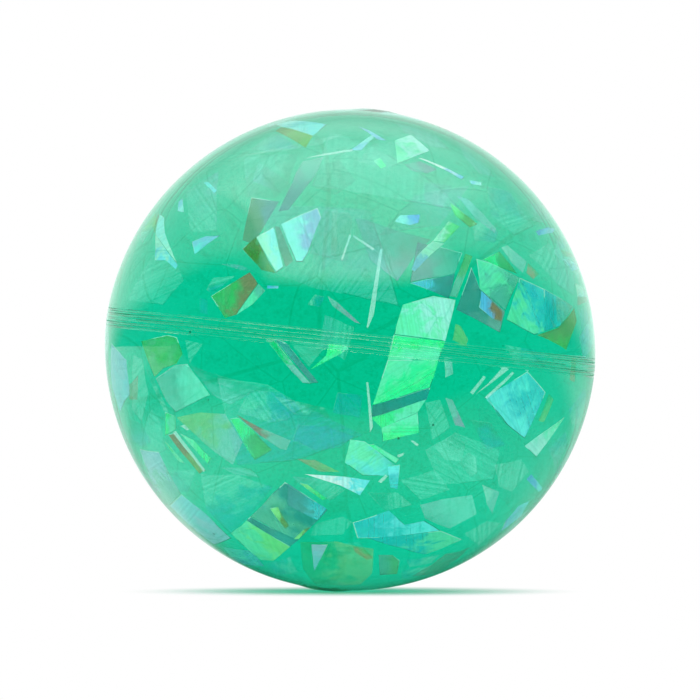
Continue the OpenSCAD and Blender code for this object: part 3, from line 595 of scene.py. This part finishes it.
# %% Colours of each scrap, panel by panel from the top
PAINT = {                     # from one colour to another, degrees up from the picture's right
    "left_fold": [("ice", "mint_white", -60), ("mint_white", "cyan", -90)],
    "square_fold": [("green", "brown", 0), ("mint", "grey", 0)],
    "slate_bar": [("olive", "slate", 0)],
    "slate_blade": [("slate", "grey", 60)],
    "sail_fold": [("mint_white", "ice", 0), ("olive", "sage", 0)],
    "ice_panel": [("ice", "lavender", 10)],
    "top_fold": [("ice", "cyan", 0), ("olive", "grass", -40)],
    "mint_kite": [("mint", "mint_white", 30)],
    "blue_needle": [("white", "blue", 0)],
    "curl_fold": [("mint_white", "leaf", -20), ("mint_white", "sky", -120)],
    "slate_fold": [("slate", "grey", 20), ("blue", "deep", 0)],
    "seam_strip": [
        ("mint", "mint_white", 10), ("leaf", "mint", -90), ("mint", "leaf", -60),
        ("deep", "teal", 0), ("leaf", "mint", 0), ("mint", "leaf", -90),
    ],
    "quad_fold": [("mint", "grey", -40), ("deep", "slate", 0)],
    "brown_scrap": [("blue", "brown", 0)],
    "cyan_fold": [("mint", "aqua", 20), ("aqua", "grey", 0)],
    "olive_fan": [("olive", "grass", -60)],
    "green_wedge": [("leaf", "green", 0)],
    "olive_leaf": [("green", "sage", -100)],
    "mint_panel": [("grey", "mint", 0)],
    "umber_panel": [("sage", "grey", -40)],
    "slate_streak": [("brown", "grey", -30)],
    "olive_blade": [("brown", "olive", -60)],
    "lavender_rim": [("lavender", "sky", -90)],
    "lavender_fold": [("lavender", "grey", -60), ("sky", "lavender", -40)],
    "fin_fold": [("leaf", "mint_white", -50), ("teal", "deep", -50)],
    "leaf_fin": [("leaf", "mint", 0)],
    "bottom_fold": [("grey", "teal", 30), ("deep", "teal", 0), ("mint", "lime", 30)],
    "teal_patch": [("teal", "aqua", 0)],
    "lavender_wedge": [("lavender", "sky", -90)],
    "crinkle_band": [("white", "cyan", 0)],
    "slate_scraps": [("grey", "slate", 0), ("sky", "grey", -20)],
    "olive_sheet": [("green", "sage", 0)],
    "cyan_sheet": [("aqua", "cyan", 0), ("aqua", "mint", 0)],
    "grey_panel": [("grey", "cyan", 0)],
    "cyan_quad": [("cyan", "aqua", 20)],
    "mint_wedge": [("mint_white", "mint", 40)],
    "mint_sheet": [("mint", "cyan", -60)],
    "cyan_tip": [("cyan", "aqua", -90)],
    "ice_needles": [("white", "ice", 90)],
    "rim_dashes": [("ice", "cyan", -30), ("mint_white", "ice", -60)],
    "leaf_scraps": [
        ("mint", "leaf", 0), ("leaf", "green", 0), ("grey", "sage", 90), ("leaf", "mint", 0),
        ("leaf", "green", 0), ("mint", "leaf", 0), ("leaf", "mint", 0), ("leaf", "mint", 0),
        ("lime", "leaf", 0), ("lime", "olive", 0), ("lime", "olive", 0), ("grey", "sage", 0),
    ],
}
FINISH_COLOURS = {            # what the panels of all other scraps are drawn from
    "film_ice": ["white", "mint_white", "ice", "cyan"],
    "film_sky": ["sky", "cyan", "blue", "ice"],
    "film_leaf": ["leaf", "mint", "lime", "mint_white"],
    "film_olive": ["olive", "green", "brown", "grass"],
    "film_slate": ["slate", "lavender", "umber", "grey"],
    "film_veil": ["white", "mint_white", "lavender", "grey", "green", "teal"],
}
slot_of = {part["node"]: part["material_slot"] for part in frame["record"]["subparts"]}
colour_draws = np.random.default_rng(11)


def panel_colours(node, count):
    """The named colours of a scrap's panels, or a draw from its finish where none are named."""
    if node in PAINT:
        return [PAINT[node][k % len(PAINT[node])] for k in range(count)]
    names = FINISH_COLOURS[slot_of[node]]
    return [(*colour_draws.choice(names, 2), colour_draws.uniform(0, 360)) for _ in range(count)]


print("scraps with colours of their own:", len(PAINT))

# %% [markdown]
# ## Film finishes
# Each finish is a glossy plastic whose colour comes from the panel's own paint. One flat colour
# would look like paper. So noise makes the border of the two colours ragged and moves their hue,
# as the layers of real film vary, and fine ribs move the brightness and break up the gloss. A very
# thin coat on the gloss gives it the play of colours that changes as the ball is turned. The
# scraps that the real ball shows only faintly are clearer than the others of their finish.

# %% How clear each film is
FILM = {
    "film_ice": dict(alpha=0.8, metal=0.1, rough=0.22, streaks=0.1),
    "film_sky": dict(alpha=0.5, metal=0.1, rough=0.25, streaks=0.1),
    "film_leaf": dict(alpha=0.5, metal=0.1, rough=0.25, streaks=0.1),
    "film_olive": dict(alpha=0.45, metal=0.0, rough=0.3, streaks=0.15),
    "film_slate": dict(alpha=0.35, metal=0.0, rough=0.3, streaks=0.12),
    "film_veil": dict(alpha=0.045, metal=0.0, rough=0.4, streaks=0.7),
}
FAINT_SHARE = 0.4             # how much of that alpha is left where a scrap is very clear
FAINT = {"olive_sheet", "umber_panel", "grey_panel", "slate_scraps", "olive_scraps"}
HALF_CLEAR = {"ice_needles": 0.26, "mint_panel": 0.6}   # shares of scraps between the two
REAR_SHARE = 0.7              # the scraps at the back and sides
REAR_DARK = {"film_olive": 0.4, "film_slate": 0.45}   # and their dark finishes
LENS_SHARE = 0.12             # and those near the back pole, which the ball enlarges like a lens
LENS_COSINE = np.cos(np.radians(34.0))


def film_alpha(node, middle):
    """How opaque one face of a panel's film is, by its scrap and by the place of its middle."""
    share = FAINT_SHARE if node in FAINT else HALF_CLEAR.get(node, 1.0)
    if node.startswith("rear_"):
        enlarged = middle[1] > LENS_COSINE * np.linalg.norm(middle)
        share = LENS_SHARE if enlarged else REAR_DARK.get(slot_of[node], REAR_SHARE)
    return FILM[slot_of[node]]["alpha"] * share


print("film finishes:", len(FILM))

# %% Film material
CLOUD = dict(Scale=620.0, Detail=4.0, Roughness=0.62, Distortion=0.6)
STREAK = dict(noise_dimensions="1D", Scale=4.5, Detail=2.0, Roughness=0.6)
NOISE_RANGE = (0.3, 0.7)      # where most of a noise lies
RAGGED = 0.35                 # how far the border of two colours strays, in shares of the panel
BORDER = (0.3, 0.75)          # where the second colour begins and where it is full
HUES = (0.48, 0.52)           # half is the hue as painted
RIBS = dict(Strength=0.3, Distance=0.00003)   # metres from the foot of a rib to its top
COAT = dict(IOR=1.5, Thin_Film_Thickness=420.0, Thin_Film_IOR=1.7)   # thickness in nanometres


def film_material(name, alpha, metal, rough, streaks):
    """Iridescent film: two colours with a ragged border, moved by noise, and fine ribs."""
    material = bpy.data.materials.new(name)
    bench = NodeBench(material)

    def spread(noise, low, high):
        """Noise, which lies near a half, spread evenly over a range."""
        return bench.step(noise, *NOISE_RANGE, low, high, "LINEAR")

    cloud = bench.add("TexNoise", **CLOUD, Vector=bench.place()).outputs["Fac"]
    streak = bench.add("TexNoise", **STREAK, W=bench.layer("rib")).outputs["Fac"]
    border = bench.math("ADD", bench.layer("share"), spread(cloud, -RAGGED, RAGGED))
    first, second = bench.layer("first", "Color"), bench.layer("second", "Color")
    shift = bench.add(
        "HueSaturation", Hue=spread(cloud, *HUES), Value=spread(streak, 1 - streaks, 1 + streaks),
        Color=bench.mix(bench.step(border, *BORDER), first, second),
    )
    bump = bench.add("Bump", **RIBS, Height=streak)
    film = bench.add(
        "BsdfPrincipled", **COAT, Roughness=rough, Metallic=metal, Alpha=alpha,
        Base_Color=shift.outputs["Color"], Normal=bump.outputs["Normal"],
    )
    bench.add("OutputMaterial", Surface=film.outputs["BSDF"])
    return material


film_finish = {}


def finish_of(slot, alpha):
    """The material of a finish at one alpha, made when it is first asked for."""
    if (slot, alpha) not in film_finish:
        values = {**FILM[slot], "alpha": alpha}
        film_finish[slot, alpha] = film_material(f"{slot}_{alpha:.3f}", **values)
    return film_finish[slot, alpha]


print(f"thin coat of {COAT['Thin_Film_Thickness']:.0f} nm")

# %% [markdown]
# ## Cut edges, with painted highlight and shade
# A knife leaves an edge on the film that catches the light on one side of a scrap and shows as a
# dark line on the other. A border could be drawn by a texture, but each panel has its own outline.
# So the last ring of its grid is the edge. Its faces get a painted highlight on the side that faces
# a light drawn for the panel, and painted shade on the side away from it, with a fine grain.

# %% Edge materials
EDGE_GRAIN = dict(Scale=1500.0, Detail=2.0)
EDGE_ROUGHNESS = 0.3
# Painted highlight and painted shade for the cut edges, each between two colours.
EDGE_HIGHLIGHT_PAINT = ((0.45, 0.95, 0.72, 1), (0.95, 1.0, 0.97, 1))
EDGE_SHADE_PAINT = ((0.0, 0.1, 0.06, 1), (0.03, 0.3, 0.2, 1))
# Alphas of the painted highlight and of the painted shade on the edges.
FILM_EDGE_ALPHAS = (0.5, 0.35)       # of the bright and the dark edge
VEIL_EDGE_ALPHAS = (0.1, 0.12)       # clear film shows its edges only faintly


def painted_edge_light(name, colours, alpha):
    """Painted highlight or shade on the cut edge of the film, between two colours by fine grain."""
    material = bpy.data.materials.new(name)
    bench = NodeBench(material)
    grain = bench.add("TexNoise", **EDGE_GRAIN, Vector=bench.place())
    paint = bench.mix(grain.outputs["Fac"], *colours)
    edge = bench.add("BsdfPrincipled", Base_Color=paint, Roughness=EDGE_ROUGHNESS, Alpha=alpha)
    bench.add("OutputMaterial", Surface=edge.outputs["BSDF"])
    return material


def painted_edge_pair(kind, lit_alpha, dark_alpha):
    """The painted highlight and the painted shade on the cut edge of a kind of film."""
    lit = painted_edge_light(f"{kind}_painted_highlight_edge", EDGE_HIGHLIGHT_PAINT, lit_alpha)
    dark = painted_edge_light(f"{kind}_painted_shade_edge", EDGE_SHADE_PAINT, dark_alpha)
    return [lit, dark]


film_edge_light = painted_edge_pair("film", *FILM_EDGE_ALPHAS)
veil_edge_light = painted_edge_pair("veil", *VEIL_EDGE_ALPHAS)
print("edge materials:", len(film_edge_light + veil_edge_light))

# %% [markdown]
# ## Every scrap
# A scrap is one piece of film, so all its panels go into one mesh. Its paint could be an image on
# an unwrapped map, but a grid this fine can carry it in layers on its points: two colours, the
# share of the second one, and a count of the ribs. The film's thickness comes last, from a
# Solidify modifier, which keeps the edge faces and the paint.

# %% Paint and edge of a panel
# An edge gets painted highlight where it faces a light drawn between these degrees, painted shade
# where it faces away.
EDGE_FACING = 0.55            # an edge shows if it faces its light, or away from it, by this cosine
EDGE_LIGHT = (40, 190)        # degrees of the picture between which that light is drawn
RIB_START = 100               # millimetres within which the ribs of a panel start
rib_draws = np.random.default_rng(5)


def picture_way(degrees):
    """The direction that points this many degrees up from the right of the picture."""
    return np.cos(np.radians(degrees)) * RIGHT + np.sin(np.radians(degrees)) * UP


def panel_paint(grid, cover, first, second, degrees):
    """The paint layers of a panel at each of its points.

    The colours run along a direction of the picture. At the distance a along it, the share of the
    second colour is (a - least) / (most - least), and the ribs count a from a drawn start.
    """
    along = grid @ picture_way(degrees)
    return {
        "first": film_light(grid, cover, first),
        "second": film_light(grid, cover, second),
        "share": (along - along.min()) / np.ptp(along),
        "rib": along + rib_draws.uniform(0, RIB_START),
    }


def edge_light_and_shade(rim, body):
    """Material numbers round a panel's rim, whose points are given from its middle.

    The cosine between a point and a drawn light, (point . light) / |point|, says where the edge
    gets a painted highlight, number 0, or painted shade, number 1. Elsewhere the rim has the number
    of the film's body.
    """
    facing = rim @ picture_way(rib_draws.uniform(*EDGE_LIGHT)) / np.linalg.norm(rim, axis=1)
    return np.where(facing > EDGE_FACING, 0, np.where(facing < -EDGE_FACING, 1, body))


print("an edge shows within", np.degrees(np.arccos(EDGE_FACING)).round(), "degrees of its light")

# %% Build every scrap
FILM_T = 0.05                 # millimetres
EDGE_LEAST = 0.2              # a film with less alpha shows no edge, apart from the clear shards


def film_piece(node):
    """One scrap of film, made of the grids of its panels; gives back how many it has.

    Each panel covers 1 - (1 - alpha)^2 of what lies behind it, because light meets both its faces.
    The last ring of a panel's faces is its cut edge, with painted highlight and shade.
    """
    panels = film_panels(node)
    slot = slot_of[node]
    looks = list(veil_edge_light if slot == "film_veil" else film_edge_light)
    points, faces, paints, finishes = [], [], [], []
    start = 0
    for panel, colours in zip(panels, panel_colours(node, len(panels))):
        middle = panel[1]
        alpha = film_alpha(node, middle)
        look = finish_of(slot, alpha)
        if look not in looks:
            looks.append(look)
        body = looks.index(look)
        grid, columns = panel_grid(*panel)
        cover = 1 - (1 - alpha) ** 2
        paints.append(panel_paint(grid, cover, *colours))
        # Painted highlight or painted shade round the rim, by the side that faces the drawn light.
        rim = edge_light_and_shade(grid[-columns:] - middle, body)
        if alpha <= EDGE_LEAST and slot != "film_veil":
            rim = np.full(columns, body)
        panel_faces = ring_faces(len(ROWS), columns, start)
        finishes += [np.full(len(panel_faces) - columns, body), rim]
        points.append(grid)
        faces += panel_faces
        start += len(grid)
    piece = mesh_piece(f"{node}_film", np.vstack(points), faces)
    piece.data.polygons.foreach_set("material_index", np.concatenate(finishes))
    for key in paints[0]:
        add_layer(piece, key, np.concatenate([paint[key] for paint in paints]), "POINT")
    wall = piece.modifiers.new("film thickness", "SOLIDIFY")
    wall.thickness = FILM_T * MM
    wall.offset = -1.0                           # inwards from the outer face
    for look in looks:
        piece.data.materials.append(look)
    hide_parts(node)
    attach(piece, "root")
    return len(panels)


scraps = [node for node in frame["nodes"] if node not in ("upper_half", "lower_half")]
panel_counts = {node: film_piece(node) for node in sorted(scraps)}
print("scraps:", len(scraps), "panels:", sum(panel_counts.values()))

# %% [markdown]
# ## The floor
# The photograph is a packshot on white. A bright white plane would do, but its light would wash
# out the ball from below. So the floor is paper near the ball, which takes its shadow, and plain
# white further off. Gloss sees another floor: lit in a ring round the ball and behind it, and dark
# towards the camera, which keeps the green deep. It is set square to the picture and touches the
# ball.

# %% Floor
FLOOR_HALF = 4.0              # metres
SQUARE = np.array([(-1, -1), (1, -1), (1, 1), (-1, 1)])
floor_drop = (skin_points @ UP).min() * MM
floor_corners = UP * floor_drop + FLOOR_HALF * SQUARE @ np.array([RIGHT, AWAY])
floor = mesh_piece("floor", floor_corners / MM, [(0, 1, 2, 3)])
print(f"floor {-floor_drop / MM:.2f} mm below the middle of the ball")

# %% Floor material
PAPER = (0.9, 0.9, 0.9, 1)
PAPER_END = (0.024, 0.034)    # metres from the ball's middle where paper turns to plain white
RING_START = (0.026, 0.04)    # and where the lit ring begins
RING_END = (0.045, 0.09)      # and ends
RING_LEFT = 0.9               # strength of the ring on the left
RING_RIGHT = 0.4              # and on the right
RING_WIDTH = (-0.025, 0.03)   # metres to the right of the ball where the one turns into the other
RING_FAR = 0.3                # share of that strength that is left beyond the ring
BACK_START = (0.03, 0.1)      # metres behind the ball where the floor gets lit again
BACK_LIT = 0.5                # with this strength
FRONT_DARK = (-0.06, -0.04)   # the same measure, on the camera's side, where the dark ends


def pale_floor():
    """White paper near the ball, which takes its shadow, and plain white further off.

    Plain white has the strength 1 for what the camera sees, also through the ball. For gloss its
    strength is (ring * side + back) * front. Rays of scattered light meet paper alone.
    """
    material = bpy.data.materials.new("pale_floor")
    bench = NodeBench(material)
    place = bench.place()
    away = bench.add("VectorMath", place, operation="LENGTH").outputs["Value"]
    axes = bench.add("SeparateXYZ", Vector=place).outputs
    ray = bench.add("LightPath").outputs
    ring = bench.step(away, *RING_END, 1.0, RING_FAR)
    ring = bench.math("MULTIPLY", bench.step(away, *RING_START), ring)
    side = bench.step(axes["X"], *RING_WIDTH, RING_LEFT, RING_RIGHT, "LINEAR")
    back = bench.step(axes["Y"], *BACK_START, 0.0, BACK_LIT)
    mirrored = bench.math("ADD", bench.math("MULTIPLY", ring, side), back)
    mirrored = bench.math("MULTIPLY", mirrored, bench.step(axes["Y"], *FRONT_DARK))
    through = bench.math("MAXIMUM", ray["Is Camera Ray"], ray["Is Transmission Ray"])
    level = bench.math("MAXIMUM", through, mirrored)
    undimmed = bench.math("SUBTRACT", 1.0, ray["Is Diffuse Ray"])
    plain = bench.math("MULTIPLY", bench.step(away, *PAPER_END), undimmed)
    gloss = bench.math("SUBTRACT", ray["Is Glossy Ray"], ray["Is Transmission Ray"], clamp=True)
    plain = bench.math("MAXIMUM", plain, gloss)
    paper = bench.add("BsdfDiffuse", Color=PAPER)
    white = bench.add("Emission", Color=(1, 1, 1, 1), Strength=level)
    surface = bench.add("MixShader", plain, paper.outputs["BSDF"], white.outputs["Emission"])
    bench.add("OutputMaterial", Surface=surface.outputs["Shader"])
    return material


floor.data.materials.append(pale_floor())
floor.visible_shadow = False                     # the table is lit from below as well
print("floor material:", floor.data.materials[0].name)

# %% [markdown]
# ## Lamps
# A packshot is lit by large soft boxes, here one above, one beside the camera and one under the
# table. One lamp would leave the scraps on its far side black. The lamps only light the ball: what
# its gloss mirrors is set by the room, so that the mirrored shapes can be placed without changing
# the light.

# %% Lamps
LAMPS = {                     # metres to the right, behind and above; size in metres; watts
    "top_soft_box": ((-0.15, -0.35, 0.8), 0.7, 4.5),
    "front_soft_box": ((0.2, -1.0, 0.2), 0.5, 4.0),
    "table_soft_box": ((0.0, -0.35, -0.6), 0.6, 2.0),
}


def soft_box(name, place, size, watts):
    """A square area lamp that looks at the ball, and that only lights it.

    A lamp looks straight down before it is turned. It is tipped by the angle between down and its
    aim, and then turned about the vertical until it looks at the ball.
    """
    lamp = bpy.data.lights.new(name, "AREA")
    lamp.shape = "SQUARE"
    lamp.size = size
    lamp.energy = watts
    holder = bpy.data.objects.new(name, lamp)
    bpy.context.scene.collection.objects.link(holder)
    right, behind, above = place
    spot = right * RIGHT + behind * AWAY + above * UP
    holder.location = spot
    aim = -spot / np.linalg.norm(spot)
    holder.rotation_euler = (np.arccos(-aim[2]), 0.0, np.arctan2(-aim[0], aim[1]))
    holder.visible_camera = False
    holder.visible_transmission = False
    holder.visible_glossy = False


for name, lamp in LAMPS.items():
    soft_box(name, *lamp)
print("lamps:", ", ".join(LAMPS))

# %% [markdown]
# ## The room
# The walls are white to the eye and give a plain even light. One white world would also be
# mirrored all over the ball and make it milky. So gloss sees a room of its own, by the kind of
# ray: a soft box overhead with soft edges, pale walls high up and far behind, and a dark camera
# side.

# %% Room
ROOM_LIGHT = 0.45             # what the walls give to the lighting
GLOSS_TOP = 3.0               # what gloss sees of the soft box overhead
GLOSS_WALL = 0.8              # and of the walls beside and behind the ball, high up
GLOSS_BACK = 0.3              # share of the soft box that is left towards the back
WALL_LEAN = 0.6               # how far the back wall's edge leans away from the camera
BACK_WALL = (0.43, 0.62)      # between these two products with its direction, each edge fades
HIGH_WALL = (0.52, 0.75)
FAR_WALL = (0.8, 0.97)
BOX_EDGE = (0.5, 0.66)
BOX_LEFT = (-0.66, -0.54)
BOX_RIGHT = (0.5, 0.8)
BOX_BACK = (0.15, 0.75)

world = bpy.data.worlds.new("white_studio")
bpy.context.scene.world = world
room = NodeBench(world)
way = room.add("TexCoord").outputs["Generated"]
ray = room.add("LightPath").outputs


def along(direction):
    """How far the ray points along a direction: their dot product."""
    return room.add("VectorMath", way, tuple(direction), operation="DOT_PRODUCT").outputs["Value"]


upwards, sideways, inwards = along(UP), along(RIGHT), along(AWAY)
walls = room.step(along(UP + WALL_LEAN * AWAY), *BACK_WALL, 0.0, GLOSS_WALL)
walls = room.math("ADD", walls, room.step(upwards, *HIGH_WALL, 0.0, GLOSS_WALL))
walls = room.math("ADD", walls, room.step(inwards, *FAR_WALL, 0.0, 1.0 - GLOSS_WALL))
overhead = room.step(upwards, *BOX_EDGE, 0.0, GLOSS_TOP)
overhead = room.math("MULTIPLY", overhead, room.step(sideways, *BOX_LEFT))
overhead = room.math("MULTIPLY", overhead, room.step(sideways, *BOX_RIGHT, 1.0, 0.0))
overhead = room.math("MULTIPLY", overhead, room.step(inwards, *BOX_BACK, 1.0, GLOSS_BACK))
gloss = room.math("MAXIMUM", walls, overhead)
print("room light", ROOM_LIGHT, "gloss overhead", GLOSS_TOP)

# %% What each kind of ray sees
seen = room.math("MAXIMUM", ray["Is Camera Ray"], ray["Is Transmission Ray"])
unseen = room.math("SUBTRACT", 1.0, seen)
mirrored = room.math("MULTIPLY", ray["Is Glossy Ray"], unseen)
lighting = room.math("SUBTRACT", unseen, mirrored)
strength = room.math("ADD", seen, room.math("MULTIPLY", mirrored, gloss))
strength = room.math("ADD", strength, room.math("MULTIPLY", lighting, ROOM_LIGHT))
background = room.add("Background", Color=(1, 1, 1, 1), Strength=strength)
room.add("OutputWorld", Surface=background.outputs["Background"])
print("nodes of the room:", len(world.node_tree.nodes))
